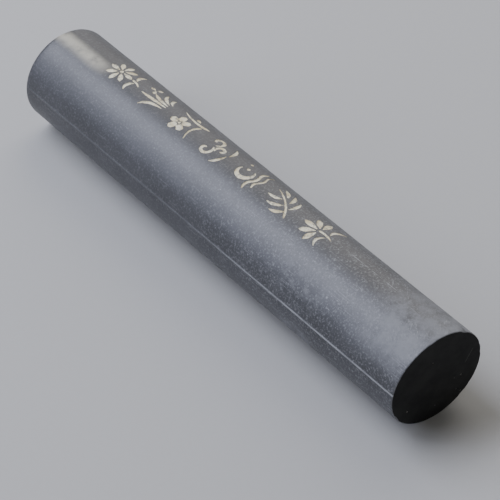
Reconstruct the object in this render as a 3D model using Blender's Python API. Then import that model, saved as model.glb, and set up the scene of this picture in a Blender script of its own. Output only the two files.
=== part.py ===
"""Round moulded ink stick lying on its side, with seven gilt ornaments along its top.

The stick is one pressed casting of soot and glue.  A column of ornaments is sunk in it, and
the pale gold fill of every stroke is a piece of its own that sits in its own recess.

Frame: metres, +Z up, the stick's length along Y.  The near end is at -Y, the far end is at +Y.
The origin is under the middle of the stick, on the surface that it lies on.

The casting and its fills are built in the mould's own frame: the axis along Y, the ornaments
on top at +Z and the two mould seams at +X and -X.  The empty named mould_frame then rolls them
about the axis and lifts them onto the surface.
"""

import math
from collections import namedtuple

import bmesh
import bpy
from mathutils import Matrix, Vector

MM = 0.001

# The casting
RADIUS = 9.0 * MM
LENGTH = 100.0 * MM
SIDES = 96
NEAR_RIM = 0.45 * MM
FAR_RIM = 0.9 * MM
RIM_SEGMENTS = 3
NEAR_LEAN = math.radians(3.0)
NEAR_LEAN_TOWARDS = math.radians(133.5)

# How the stick lies: the roll about its axis, and the narrow flat that it dried on
ROLL = math.radians(9.0)
FLAT_WIDTH = 2.0 * MM
AXIS_HEIGHT = math.sqrt(RADIUS**2 - (FLAT_WIDTH / 2)**2)

# The two seams left where the halves of the mould met
SEAM_RADIUS = 0.25 * MM
SEAM_PROUD = 0.1 * MM
SEAM_SIDES = 8
SEAM_END_MARGIN = 2.0 * MM

# The engraving and its fills
RECESS_DEPTH = 0.45 * MM
FILL_BELOW_SURFACE = 0.06 * MM
FILL_CLEARANCE = 0.04 * MM
CUTTER_REACH = 1.0 * MM
FIRST_ORNAMENT_Y = 33.0 * MM
ORNAMENT_PITCH = 8.6 * MM
TIP_WIDTH = 0.16

INK_COLOR = (0.022, 0.024, 0.031, 1.0)
GILT_COLOR = (0.62, 0.56, 0.40, 1.0)

# One stroke of an ornament.  The spine is a list of points in millimetres across and along the
# stick, from the ornament's middle.  The taper names how its width changes along the spine.
Stroke = namedtuple("Stroke", "name spine width taper")


# --- Spines and tapers ---------------------------------------------------------------------

def bent(start, bend, end, stations=7):
    """Points on a quadratic curve from start to end, pulled towards bend."""
    points = []
    for index in range(stations):
        t = index / (stations - 1)
        x = (1 - t)**2 * start[0] + 2 * t * (1 - t) * bend[0] + t**2 * end[0]
        y = (1 - t)**2 * start[1] + 2 * t * (1 - t) * bend[1] + t**2 * end[1]
        points.append((x, y))
    return points


def straight(start, end, stations=5):
    """Points on the straight line from start to end."""
    middle = ((start[0] + end[0]) / 2, (start[1] + end[1]) / 2)
    return bent(start, middle, end, stations)


def coil(centre, first_radius, last_radius, first_angle, last_angle, stations=10):
    """Points on an arc or a scroll round a centre, with its angles in degrees."""
    points = []
    for index in range(stations):
        t = index / (stations - 1)
        radius = first_radius + t * (last_radius - first_radius)
        angle = math.radians(first_angle + t * (last_angle - first_angle))
        points.append((centre[0] + radius * math.cos(angle), centre[1] + radius * math.sin(angle)))
    return points


def ripple(start, end, height, crests, stations=11):
    """Points on a wave from start to end."""
    points = []
    for index in range(stations):
        t = index / (stations - 1)
        x = start[0] + t * (end[0] - start[0])
        y = start[1] + t * (end[1] - start[1]) + height * math.sin(math.tau * crests * t)
        points.append((x, y))
    return points


def ray(centre, inner, outer, angle, stations=6):
    """Points on a straight line out of a centre, with its angle in degrees."""
    turn = math.radians(angle)
    start = (centre[0] + inner * math.cos(turn), centre[1] + inner * math.sin(turn))
    end = (centre[0] + outer * math.cos(turn), centre[1] + outer * math.sin(turn))
    return straight(start, end, stations)


def width_at(taper, t):
    """Share of a stroke's full width at the place t along it, from 0 to 1."""
    if taper == "leaf":
        return math.sin(math.pi * t)**0.75
    if taper == "petal":
        return math.sin(math.pi * t**1.35)**0.6
    if taper == "tail":
        return min(1.0, 5 * t + 0.35) * (1 - t)**0.55
    return (1 - (2 * t - 1)**4)**0.5


# --- The seven ornaments -------------------------------------------------------------------

def chrysanthemum():
    """A round bloom of eight petals on a short stem with two leaves."""
    centre = (0.0, 1.25)
    strokes = [Stroke("button", straight((-0.33, 1.25), (0.33, 1.25)), 0.62, "bar")]
    for index in range(8):
        spine = ray(centre, 0.72, 2.75, 90 + 45 * index)
        strokes.append(Stroke(f"petal_{index + 1}", spine, 0.82, "petal"))
    strokes.append(Stroke("stem", bent((0.05, -1.9), (0.1, -3.0), (-0.45, -4.0)), 0.42, "tail"))
    strokes.append(Stroke("leaf_1", bent((0.45, -2.6), (1.5, -1.6), (2.7, -2.35)), 0.62, "leaf"))
    strokes.append(Stroke("leaf_2", bent((-0.5, -2.75), (-1.6, -1.8), (-2.7, -2.7)), 0.62, "leaf"))
    return strokes


def orchid():
    """Five arching leaves fanning from the root, and a flower of three petals."""
    leaves = (
        ((-0.95, -2.6), (-1.25, 0.5), (-3.0, 1.2)),
        ((-0.2, -2.9), (-0.5, 0.6), (-0.7, 3.1)),
        ((0.35, -2.75), (0.35, -0.1), (1.0, 1.25)),
        ((0.9, -2.6), (1.25, -0.5), (3.0, 0.1)),
        ((1.35, -3.0), (1.9, -1.7), (3.05, -1.9)),
    )
    strokes = []
    for index, (start, bend, end) in enumerate(leaves):
        strokes.append(Stroke(f"leaf_{index + 1}", bent(start, bend, end, 8), 0.55, "leaf"))
    for index in range(3):
        spine = ray((1.75, 2.2), 0.25, 1.2, 90 + 120 * index, 5)
        strokes.append(Stroke(f"petal_{index + 1}", spine, 0.58, "petal"))
    return strokes


def plum_blossom():
    """A five-petalled flower beside a bare branch with a twig and a bud."""
    centre = (-0.85, 1.0)
    strokes = [Stroke("eye", straight((-1.08, 1.0), (-0.62, 1.0)), 0.46, "bar")]
    for index in range(5):
        spine = ray(centre, 0.5, 2.0, 90 + 72 * index)
        strokes.append(Stroke(f"petal_{index + 1}", spine, 1.15, "bar"))
    strokes.append(Stroke("branch", bent((2.3, -3.3), (1.2, -0.2), (2.5, 3.2), 10), 0.6, "tail"))
    strokes.append(Stroke("twig", bent((1.35, -2.35), (-0.6, -1.3), (-2.7, -2.6), 8), 0.45, "tail"))
    strokes.append(Stroke("bud", straight((2.55, -0.6), (2.95, 0.45)), 0.6, "petal"))
    return strokes


def cloud():
    """Three scrolls over two drifting streaks."""
    return [
        Stroke("scroll_1", coil((-1.5, 1.5), 0.35, 1.4, 20, 330, 13), 0.5, "bar"),
        Stroke("scroll_2", coil((1.55, 1.65), 0.35, 1.4, 160, -150, 13), 0.5, "bar"),
        Stroke("scroll_3", coil((0.05, -0.75), 0.3, 1.1, 200, 500, 12), 0.48, "bar"),
        Stroke("streak_1", bent((-2.95, -1.3), (-2.2, -2.4), (-0.3, -2.5), 8), 0.5, "leaf"),
        Stroke("streak_2", bent((0.25, -2.75), (1.9, -2.9), (3.0, -1.6), 8), 0.5, "leaf"),
    ]


def moon_and_waves():
    """A crescent moon and two stars above two rolling waves."""
    return [
        Stroke("crescent", coil((-0.1, 1.0), 1.55, 1.55, 75, 320, 11), 0.78, "leaf"),
        Stroke("star_1", straight((0.55, 1.35), (1.05, 1.35)), 0.48, "bar"),
        Stroke("star_2", straight((2.25, 2.35), (2.65, 2.35)), 0.42, "bar"),
        Stroke("wave_1", ripple((-3.0, -1.5), (3.0, -1.35), 0.3, 1.5), 0.45, "bar"),
        Stroke("wave_2", ripple((-1.9, -2.6), (3.2, -2.45), 0.26, 1.5), 0.42, "tail"),
    ]


def willow_sprig():
    """A leaning twig with six slim leaves set alternately."""
    strokes = [Stroke("twig", bent((-2.5, -3.1), (0.3, -1.2), (1.9, 3.1), 10), 0.36, "tail")]
    leaves = (
        ((-1.55, -2.0), (-2.6, -1.4), (-2.85, 0.1)),
        ((-0.55, -2.2), (0.9, -2.7), (2.3, -1.9)),
        ((-0.7, -0.75), (-1.8, 0.1), (-1.95, 1.8)),
        ((0.65, -0.95), (2.0, -0.9), (3.0, 0.3)),
        ((0.3, 0.75), (-0.6, 1.6), (-0.5, 3.1)),
        ((1.5, 0.6), (2.5, 1.2), (2.9, 2.5)),
    )
    for index, (start, bend, end) in enumerate(leaves):
        strokes.append(Stroke(f"leaf_{index + 1}", bent(start, bend, end), 0.6, "leaf"))
    return strokes


def lotus():
    """Five upright petals on a stem that rises between ripples."""
    centre = (0.0, -0.75)
    strokes = []
    for index in range(5):
        spine = ray(centre, 0.85, 3.6 - 0.22 * abs(index - 2), 10 + 40 * index)
        strokes.append(Stroke(f"petal_{index + 1}", spine, 1.0, "petal"))
    strokes.append(Stroke("stem", bent((0.0, -0.55), (0.35, -2.2), (-0.2, -3.6)), 0.42, "tail"))
    strokes.append(Stroke("ripple_1", bent((-2.9, -2.5), (-1.8, -1.3), (-0.6, -2.4)), 0.48, "leaf"))
    strokes.append(Stroke("ripple_2", bent((0.75, -2.5), (2.0, -1.6), (3.6, -3.3), 8), 0.5, "leaf"))
    return strokes


ORNAMENTS = (
    ("chrysanthemum", chrysanthemum),
    ("orchid", orchid),
    ("plum", plum_blossom),
    ("cloud", cloud),
    ("moon", moon_and_waves),
    ("willow", willow_sprig),
    ("lotus", lotus),
)


def gilt_strokes():
    """Every stroke on the stick, with its node's name and its place along the stick."""
    placed = []
    for row, (ornament, draw) in enumerate(ORNAMENTS):
        middle_y = FIRST_ORNAMENT_Y - row * ORNAMENT_PITCH
        for stroke in draw():
            spine = [Vector((x * MM, y * MM + middle_y)) for x, y in stroke.spine]
            name = f"gilt_{ornament}_{stroke.name}"
            placed.append(Stroke(name, spine, stroke.width * MM, stroke.taper))
    return placed


# --- Meshes --------------------------------------------------------------------------------

def spine_direction(spine, index):
    """Unit direction of a spine at one of its points."""
    before = spine[max(index - 1, 0)]
    after = spine[min(index + 1, len(spine) - 1)]
    return (after - before).normalized()


def ribbon_point(stroke, index, side, margin):
    """Point on a stroke's edge: side is -1 or 1, and margin grows the stroke all round."""
    last = len(stroke.spine) - 1
    direction = spine_direction(stroke.spine, index)
    across = Vector((-direction.y, direction.x))
    share = max(width_at(stroke.taper, index / last), TIP_WIDTH)
    point = stroke.spine[index] + across * side * (stroke.width * share / 2 + margin)
    if index == 0:
        point -= direction * margin
    if index == last:
        point += direction * margin
    return point


def on_cylinder(point, radius):
    """Lift a point of the ornaments' plane straight up to a cylinder round the axis."""
    return Vector((point.x, point.y, math.sqrt(radius**2 - point.x**2)))


def add_ribbon(mesh, stroke, margin, low_radius, high_radius):
    """Add a closed solid that follows a stroke, between two radii of the stick."""
    last = len(stroke.spine) - 1
    grid = bmesh.ops.create_grid(mesh, x_segments=last, y_segments=1, size=0.5)["verts"]
    floor = list({face for vertex in grid for face in vertex.link_faces})
    extruded = bmesh.ops.extrude_face_region(mesh, geom=floor)["geom"]
    lifted = [item for item in extruded if isinstance(item, bmesh.types.BMVert)]
    for vertices, radius in ((grid, low_radius), (lifted, high_radius)):
        for vertex in vertices:
            index = round((vertex.co.x + 0.5) * last)
            side = 1 if vertex.co.y > 0 else -1
            vertex.co = on_cylinder(ribbon_point(stroke, index, side, margin), radius)
    solid_faces = list({face for vertex in grid + lifted for face in vertex.link_faces})
    bmesh.ops.recalc_face_normals(mesh, faces=solid_faces)


def add_cylinder(mesh, radius, length, sides, centre):
    """Add a closed cylinder along Y and return its vertices."""
    turned = Matrix.Translation(centre) @ Matrix.Rotation(math.radians(90), 4, "X")
    made = bmesh.ops.create_cone(mesh, cap_ends=True, cap_tris=False, segments=sides,
                                 radius1=radius, radius2=radius, depth=length, matrix=turned)
    return made["verts"]


def round_rim(mesh, y, rim):
    """Round the edge of the end face that lies at y."""
    rim_edges = [edge for edge in mesh.edges
                 if all(abs(vertex.co.y - y) < rim / 10 for vertex in edge.verts)]
    bmesh.ops.bevel(mesh, geom=rim_edges, offset=rim, offset_type="OFFSET",
                    segments=RIM_SEGMENTS, profile=0.5, affect="EDGES", material=-1)


def lean_near_end(mesh, near_y):
    """Slide the near end's rim along the axis so that its face leans by NEAR_LEAN."""
    towards_x = -math.sin(NEAR_LEAN_TOWARDS)
    towards_z = math.cos(NEAR_LEAN_TOWARDS)
    for vertex in mesh.verts:
        if vertex.co.y < near_y + 2 * NEAR_RIM:
            reach = vertex.co.x * towards_x + vertex.co.z * towards_z
            vertex.co.y += math.tan(NEAR_LEAN) * reach


# --- Objects -------------------------------------------------------------------------------

def clear_scene():
    """Remove every object that the file opened with."""
    for item in list(bpy.data.objects):
        bpy.data.objects.remove(item, do_unlink=True)


def new_collection(name):
    """Make a collection in the scene."""
    collection = bpy.data.collections.new(name)
    bpy.context.scene.collection.children.link(collection)
    return collection


def principled(name, color, roughness, metallic):
    """Make a plain material with a colour, a roughness and a metallic value."""
    material = bpy.data.materials.new(name)
    material.use_nodes = True
    shader = material.node_tree.nodes["Principled BSDF"]
    shader.inputs["Base Color"].default_value = color
    shader.inputs["Roughness"].default_value = roughness
    shader.inputs["Metallic"].default_value = metallic
    return material


def make_object(name, mesh, collection, parent, material=None):
    """Turn a bmesh into a named object and free the bmesh."""
    data = bpy.data.meshes.new(name)
    mesh.to_mesh(data)
    mesh.free()
    if material:
        data.materials.append(material)
    made = bpy.data.objects.new(name, data)
    made.parent = parent
    collection.objects.link(made)
    return made


def make_cutter(name, mesh, cutters, parent):
    """Make an object that only shapes others, hidden from renders."""
    cutter = make_object(name, mesh, cutters, parent)
    cutter.hide_render = True
    cutter.display_type = "WIRE"
    return cutter


def add_boolean(target, cutter, operation):
    """Join a cutter to the target, or cut it away."""
    boolean = target.modifiers.new(cutter.name, "BOOLEAN")
    boolean.operation = operation
    boolean.object = cutter
    boolean.solver = "EXACT"


def build_mould_frame(collection):
    """Place the empty that rolls and lifts the stick."""
    frame = bpy.data.objects.new("mould_frame", None)
    frame.location = (0, 0, AXIS_HEIGHT)
    frame.rotation_euler = (0, ROLL, 0)
    collection.objects.link(frame)
    return frame


def build_engraving_cutter(strokes, cutters, frame):
    """All the recesses as one set of separate solids, open to the outside."""
    mesh = bmesh.new()
    for stroke in strokes:
        add_ribbon(mesh, stroke, FILL_CLEARANCE, RADIUS - RECESS_DEPTH, RADIUS + CUTTER_REACH)
    return make_cutter("engraving_cutter", mesh, cutters, frame)


def build_seams(cutters, frame):
    """The two mould seams as thin rods, mostly inside the casting."""
    mesh = bmesh.new()
    for side in (-1, 1):
        centre = Vector((side * (RADIUS - SEAM_RADIUS + SEAM_PROUD), 0, 0))
        add_cylinder(mesh, SEAM_RADIUS, LENGTH - 2 * SEAM_END_MARGIN, SEAM_SIDES, centre)
    return make_cutter("seam_rods", mesh, cutters, frame)


def build_flat_cutter(cutters):
    """A block under the surface that the stick lies on, which takes off the resting flat."""
    mesh = bmesh.new()
    block_depth = 2 * RADIUS
    bmesh.ops.create_cube(mesh, size=1.0)
    bmesh.ops.scale(mesh, vec=(4 * RADIUS, 2 * LENGTH, block_depth), verts=mesh.verts)
    bmesh.ops.translate(mesh, vec=(0, 0, -block_depth / 2), verts=mesh.verts)
    return make_cutter("flat_cutter", mesh, cutters, None)


def build_ink_body(collection, cutters, frame, strokes, ink):
    """The casting: round, with rounded rims, seams, recesses and a narrow resting flat."""
    lean_reach = math.tan(NEAR_LEAN) * (RADIUS - NEAR_RIM)
    near_y = -LENGTH / 2 + lean_reach
    far_y = LENGTH / 2
    mesh = bmesh.new()
    centre = Vector((0, (near_y + far_y) / 2, 0))
    add_cylinder(mesh, RADIUS, far_y - near_y, SIDES, centre)
    round_rim(mesh, near_y, NEAR_RIM)
    round_rim(mesh, far_y, FAR_RIM)
    lean_near_end(mesh, near_y)
    body = make_object("ink_body", mesh, collection, frame, ink)
    add_boolean(body, build_seams(cutters, frame), "UNION")
    add_boolean(body, build_engraving_cutter(strokes, cutters, frame), "DIFFERENCE")
    add_boolean(body, build_flat_cutter(cutters), "DIFFERENCE")
    body.data.shade_smooth()
    body.data.set_sharp_from_angle(angle=math.radians(35))
    return body


def build_fill(stroke, collection, frame, gilt):
    """The gilt fill of one stroke, a little below the stick's surface."""
    mesh = bmesh.new()
    floor_radius = RADIUS - RECESS_DEPTH + FILL_CLEARANCE
    add_ribbon(mesh, stroke, 0.0, floor_radius, RADIUS - FILL_BELOW_SURFACE)
    return make_object(stroke.name, mesh, collection, frame, gilt)


def main():
    """Build the ink stick."""
    clear_scene()
    stick = new_collection("ink_stick")
    cutters = new_collection("ink_stick_cutters")
    ink = principled("ink", INK_COLOR, roughness=0.42, metallic=0.0)
    gilt = principled("gilt", GILT_COLOR, roughness=0.6, metallic=0.3)
    frame = build_mould_frame(stick)
    strokes = gilt_strokes()
    build_ink_body(stick, cutters, frame, strokes, ink)
    for stroke in strokes:
        build_fill(stroke, stick, frame, gilt)


main()
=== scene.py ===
"""Looks of a round moulded ink stick: the burnished casting and the gilt in its ornaments.

Sizes are in metres in the part's own frame: +Z up, the stick along Y with its near end at -Y.
The casting and the ornaments are shaped in the mould's frame, where the axis is the Y axis and
the ornaments face +Z, and are then rolled and lifted to where the stick lies.
"""

import logging
import math
from collections.abc import Callable, Iterable
from dataclasses import dataclass
from enum import Enum

import bmesh
import bpy
from mathutils import Matrix, Vector, noise


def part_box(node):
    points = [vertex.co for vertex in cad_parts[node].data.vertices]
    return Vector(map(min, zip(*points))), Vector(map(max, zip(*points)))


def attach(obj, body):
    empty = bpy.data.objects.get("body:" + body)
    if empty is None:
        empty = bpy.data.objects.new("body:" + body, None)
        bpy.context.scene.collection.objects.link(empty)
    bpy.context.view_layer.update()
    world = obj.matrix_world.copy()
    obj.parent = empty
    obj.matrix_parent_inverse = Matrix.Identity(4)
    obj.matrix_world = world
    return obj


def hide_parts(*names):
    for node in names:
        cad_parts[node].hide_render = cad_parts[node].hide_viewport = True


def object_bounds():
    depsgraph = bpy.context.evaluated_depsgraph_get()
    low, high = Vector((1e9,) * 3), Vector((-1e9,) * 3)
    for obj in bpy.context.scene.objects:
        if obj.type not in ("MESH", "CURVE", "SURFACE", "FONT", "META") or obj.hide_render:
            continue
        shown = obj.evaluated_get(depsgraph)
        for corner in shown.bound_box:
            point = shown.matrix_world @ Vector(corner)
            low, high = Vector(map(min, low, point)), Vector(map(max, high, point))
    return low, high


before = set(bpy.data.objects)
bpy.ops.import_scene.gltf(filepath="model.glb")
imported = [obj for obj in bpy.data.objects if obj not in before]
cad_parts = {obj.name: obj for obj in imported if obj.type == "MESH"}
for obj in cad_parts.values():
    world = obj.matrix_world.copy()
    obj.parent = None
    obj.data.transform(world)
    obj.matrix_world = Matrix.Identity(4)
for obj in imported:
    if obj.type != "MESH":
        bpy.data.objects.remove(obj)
CAD_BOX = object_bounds()

LOG = logging.getLogger("ink_stick")
MM = 0.001
BODY = "root"
CASTING_NODE = "ink_body"

Point = tuple[float, float]
Pinhole = tuple[float, float, float]
Color = tuple[float, float, float]
Curve = Callable[[float], Point]
BMesh = bmesh.types.BMesh
Material = bpy.types.Material
Node = bpy.types.Node
SceneObject = bpy.types.Object
Socket = bpy.types.NodeSocket
Tree = bpy.types.NodeTree


class Taper(Enum):
    """How a stroke's width changes from its start to its end."""

    LEAF = "leaf"
    PETAL = "petal"
    TAIL = "tail"
    BAR = "bar"

    def share(self, t: float) -> float:
        """Share of the full width at the place t along the stroke.

        Args:
            t: The place along the stroke, from 0 to 1.

        Returns:
            The share, from 0 to 1.
        """
        if self is Taper.LEAF:
            return math.sin(math.pi * t)**0.75
        if self is Taper.PETAL:
            return math.sin(math.pi * t**1.35)**0.6
        if self is Taper.TAIL:
            return min(1.0, 5 * t + 0.35) * (1 - t)**0.55
        return (1 - (2 * t - 1)**4)**0.5


class Slot(Enum):
    """The casting's material slots, in their order on the mesh."""

    SIDE = 0
    END = 1
    RECESS = 2
    SCRAPED = 3


# --- Curves that the strokes follow ---

def bent(start: Point, bend: Point, end: Point) -> Curve:
    """Quadratic curve that is pulled towards a bend.

    Args:
        start: Where it starts, in millimetres.
        bend: The point that pulls it.
        end: Where it ends.

    Returns:
        The curve.
    """
    def at(t: float) -> Point:
        """Point of the curve at t."""
        return (
            (1 - t)**2 * start[0] + 2 * t * (1 - t) * bend[0] + t**2 * end[0],
            (1 - t)**2 * start[1] + 2 * t * (1 - t) * bend[1] + t**2 * end[1],
        )
    return at


def straight(start: Point, end: Point) -> Curve:
    """Straight line from start to end, in millimetres."""
    return bent(start, ((start[0] + end[0]) / 2, (start[1] + end[1]) / 2), end)


def coil(centre: Point, radii: Point, angles: Point) -> Curve:
    """Arc or scroll round a centre.

    Args:
        centre: The middle of the arc, in millimetres.
        radii: The radius at the start and at the end, in millimetres.
        angles: The angle at the start and at the end, in degrees.

    Returns:
        The curve.
    """
    def at(t: float) -> Point:
        """Point of the arc at t."""
        radius = radii[0] + t * (radii[1] - radii[0])
        angle = math.radians(angles[0] + t * (angles[1] - angles[0]))
        return centre[0] + radius * math.cos(angle), centre[1] + radius * math.sin(angle)
    return at


def ripple(start: Point, end: Point, height: float, crests: float) -> Curve:
    """Wave along a line.

    Args:
        start: Where it starts, in millimetres.
        end: Where it ends.
        height: The height of a crest over the line.
        crests: The number of crests.

    Returns:
        The curve.
    """
    def at(t: float) -> Point:
        """Point of the wave at t."""
        lift = height * math.sin(math.tau * crests * t)
        return start[0] + t * (end[0] - start[0]), start[1] + t * (end[1] - start[1]) + lift
    return at


def rays(centre: Point, inner: float, outer: float, count: int) -> list[Curve]:
    """Straight lines that radiate evenly from a centre, the first of them upwards."""
    angles = [90 + 360 / count * index for index in range(count)]
    return [coil(centre, (inner, outer), (angle, angle)) for angle in angles]


@dataclass(frozen=True)
class Stroke:
    """One brush-like stroke of an ornament.

    Attributes:
        name: The stroke's name within its ornament.
        curve: Its spine, in millimetres from the ornament's middle.
        width: Its full width, in millimetres.
        taper: How the width changes.
        middle_y: The ornament's place along the stick, in metres.
    """

    name: str
    curve: Curve
    width: float
    taper: Taper
    middle_y: float = 0.0

    TIP_SHARE = 0.14
    STEP = 0.004
    LENGTH_STEPS = 24
    WANDER = 0.07 * MM
    WANDERS_PER_MM = 2.3
    TIP_ROUNDNESS = 0.6

    def spine_point(self, t: float) -> Vector:
        """Point of the spine at t, in metres on the mould's plan."""
        x, y = self.curve(t)
        return Vector((x * MM, y * MM + self.middle_y))

    def direction(self, t: float) -> Vector:
        """Unit direction of the spine at t."""
        ends = [self.spine_point(min(max(t + step, 0.0), 1.0)) for step in (-self.STEP, self.STEP)]
        return (ends[1] - ends[0]).normalized()

    def length(self) -> float:
        """Length of the spine, in metres."""
        points = [self.spine_point(i / self.LENGTH_STEPS) for i in range(self.LENGTH_STEPS + 1)]
        return sum((after - before).length for before, after in zip(points, points[1:]))

    def edge_wander(self, point: Vector, side: float) -> float:
        """How far the hand-cut edge strays outwards at a point, in metres."""
        x, y = (part / MM * self.WANDERS_PER_MM for part in point)
        return self.WANDER * noise.noise(Vector((x, y, 7.0 * side)))

    def ribbon_point(self, t: float, across: float, margin: float) -> Vector:
        """Point on the stroke's ribbon.

        Args:
            t: The place along the stroke, from 0 to 1.
            across: The place across it, from -1 to 1.
            margin: How far the ribbon is grown all round, in metres.

        Returns:
            The point on the mould's plan, in metres.
        """
        direction = self.direction(t)
        sideways = Vector((-direction.y, direction.x))
        share = max(self.taper.share(t), self.TIP_SHARE)
        spine = self.spine_point(t)
        half = self.width * MM * share / 2 + margin + self.edge_wander(spine, across)
        point = spine + sideways * across * half
        ends = {0.0: -margin, 1.0: margin}
        bulge = half * self.TIP_ROUNDNESS * math.sqrt(max(0.0, 1 - across**2))
        reach = ends.get(t, 0.0)
        return point + direction * (reach + math.copysign(bulge, reach) if reach else 0.0)


def numbered(name: str, curves: Iterable[Curve], width: float, taper: Taper) -> list[Stroke]:
    """Strokes of one kind, numbered from 1."""
    return [Stroke(f"{name}_{number}", curve, width, taper)
            for number, curve in enumerate(curves, start=1)]


# --- The seven ornaments ---

@dataclass(frozen=True)
class Ornament:
    """A small picture sunk in the stick's top.

    Attributes:
        name: The ornament's name in the names of its parts.
        row: Its place in the column, counted from the far end.
    """

    name: str
    row: int

    FIRST_Y = 33.0 * MM
    PITCH = 8.6 * MM

    def draw(self) -> list[Stroke]:
        """List the ornament's strokes round its own middle."""
        raise NotImplementedError

    def strokes(self) -> list[Stroke]:
        """List the ornament's strokes at its place along the stick."""
        middle_y = self.FIRST_Y - self.row * self.PITCH
        return [Stroke(f"{self.name}_{stroke.name}", stroke.curve, stroke.width, stroke.taper,
                       middle_y) for stroke in self.draw()]


@dataclass(frozen=True)
class Chrysanthemum(Ornament):
    """A round bloom on a short stem with two leaves."""

    name: str = "chrysanthemum"
    row: int = 0
    petals: int = 8
    petal_width: float = 0.82
    leaf_width: float = 0.62
    centre: Point = (0.0, 1.25)

    def draw(self) -> list[Stroke]:
        """List the button, the petals, the stem and the leaves."""
        x, y = self.centre
        return [
            Stroke("button", straight((x - 0.33, y), (x + 0.33, y)), 0.62, Taper.BAR),
            *numbered("petal", rays(self.centre, 0.72, 2.75, self.petals), self.petal_width,
                      Taper.PETAL),
            Stroke("stem", bent((0.05, -1.9), (0.1, -3.0), (-0.45, -4.0)), 0.42, Taper.TAIL),
            *numbered("leaf", (
                bent((0.45, -2.6), (1.5, -1.6), (2.7, -2.35)),
                bent((-0.5, -2.75), (-1.6, -1.8), (-2.7, -2.7)),
            ), self.leaf_width, Taper.LEAF),
        ]


@dataclass(frozen=True)
class Orchid(Ornament):
    """Five arching leaves from one root, and a flower of three petals."""

    name: str = "orchid"
    row: int = 1
    leaf_width: float = 0.55
    petal_width: float = 0.58
    flower: Point = (1.75, 2.2)

    def draw(self) -> list[Stroke]:
        """List the leaves and the petals."""
        return [
            *numbered("leaf", (
                bent((-0.95, -2.6), (-1.25, 0.5), (-3.0, 1.2)),
                bent((-0.2, -2.9), (-0.5, 0.6), (-0.7, 3.1)),
                bent((0.35, -2.75), (0.35, -0.1), (1.0, 1.25)),
                bent((0.9, -2.6), (1.25, -0.5), (3.0, 0.1)),
                bent((1.35, -3.0), (1.9, -1.7), (3.05, -1.9)),
            ), self.leaf_width, Taper.LEAF),
            *numbered("petal", rays(self.flower, 0.25, 1.2, 3), self.petal_width, Taper.PETAL),
        ]


@dataclass(frozen=True)
class PlumBlossom(Ornament):
    """A five-petalled flower beside a bare branch with a twig and a bud."""

    name: str = "plum"
    row: int = 2
    centre: Point = (-0.85, 1.0)
    petal_width: float = 1.15

    def draw(self) -> list[Stroke]:
        """List the eye, the petals, the branch, the twig and the bud."""
        x, y = self.centre
        return [
            Stroke("eye", straight((x - 0.23, y), (x + 0.23, y)), 0.46, Taper.BAR),
            *numbered("petal", rays(self.centre, 0.5, 2.0, 5), self.petal_width, Taper.BAR),
            Stroke("branch", bent((2.3, -3.3), (1.2, -0.2), (2.5, 3.2)), 0.6, Taper.TAIL),
            Stroke("twig", bent((1.35, -2.35), (-0.6, -1.3), (-2.7, -2.6)), 0.45, Taper.TAIL),
            Stroke("bud", straight((2.55, -0.6), (2.95, 0.45)), 0.6, Taper.PETAL),
        ]


@dataclass(frozen=True)
class Cloud(Ornament):
    """Three scrolls over two drifting streaks."""

    name: str = "cloud"
    row: int = 3
    width: float = 0.5

    def draw(self) -> list[Stroke]:
        """List the scrolls and the streaks."""
        return [
            *numbered("scroll", (
                coil((-1.5, 1.5), (0.35, 1.4), (20, 330)),
                coil((1.55, 1.65), (0.35, 1.4), (160, -150)),
                coil((0.05, -0.75), (0.3, 1.1), (200, 500)),
            ), self.width, Taper.BAR),
            *numbered("streak", (
                bent((-2.95, -1.3), (-2.2, -2.4), (-0.3, -2.5)),
                bent((0.25, -2.75), (1.9, -2.9), (3.0, -1.6)),
            ), self.width, Taper.LEAF),
        ]


@dataclass(frozen=True)
class MoonAndWaves(Ornament):
    """A crescent moon and two stars above two rolling waves."""

    name: str = "moon"
    row: int = 4
    crescent_width: float = 0.78

    def draw(self) -> list[Stroke]:
        """List the crescent, the stars and the waves."""
        crescent = coil((-0.1, 1.0), (1.55, 1.55), (75, 320))
        return [
            Stroke("crescent", crescent, self.crescent_width, Taper.LEAF),
            Stroke("star_1", straight((0.55, 1.35), (1.05, 1.35)), 0.48, Taper.BAR),
            Stroke("star_2", straight((2.25, 2.35), (2.65, 2.35)), 0.42, Taper.BAR),
            Stroke("wave_1", ripple((-3.0, -1.5), (3.0, -1.35), 0.3, 1.5), 0.45, Taper.BAR),
            Stroke("wave_2", ripple((-1.9, -2.6), (3.2, -2.45), 0.26, 1.5), 0.42, Taper.TAIL),
        ]


@dataclass(frozen=True)
class WillowSprig(Ornament):
    """A leaning twig with six slim leaves set alternately."""

    name: str = "willow"
    row: int = 5
    leaf_width: float = 0.6

    def draw(self) -> list[Stroke]:
        """List the twig and the leaves."""
        return [
            Stroke("twig", bent((-2.5, -3.1), (0.3, -1.2), (1.9, 3.1)), 0.36, Taper.TAIL),
            *numbered("leaf", (
                bent((-1.55, -2.0), (-2.6, -1.4), (-2.85, 0.1)),
                bent((-0.55, -2.2), (0.9, -2.7), (2.3, -1.9)),
                bent((-0.7, -0.75), (-1.8, 0.1), (-1.95, 1.8)),
                bent((0.65, -0.95), (2.0, -0.9), (3.0, 0.3)),
                bent((0.3, 0.75), (-0.6, 1.6), (-0.5, 3.1)),
                bent((1.5, 0.6), (2.5, 1.2), (2.9, 2.5)),
            ), self.leaf_width, Taper.LEAF),
        ]


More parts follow.
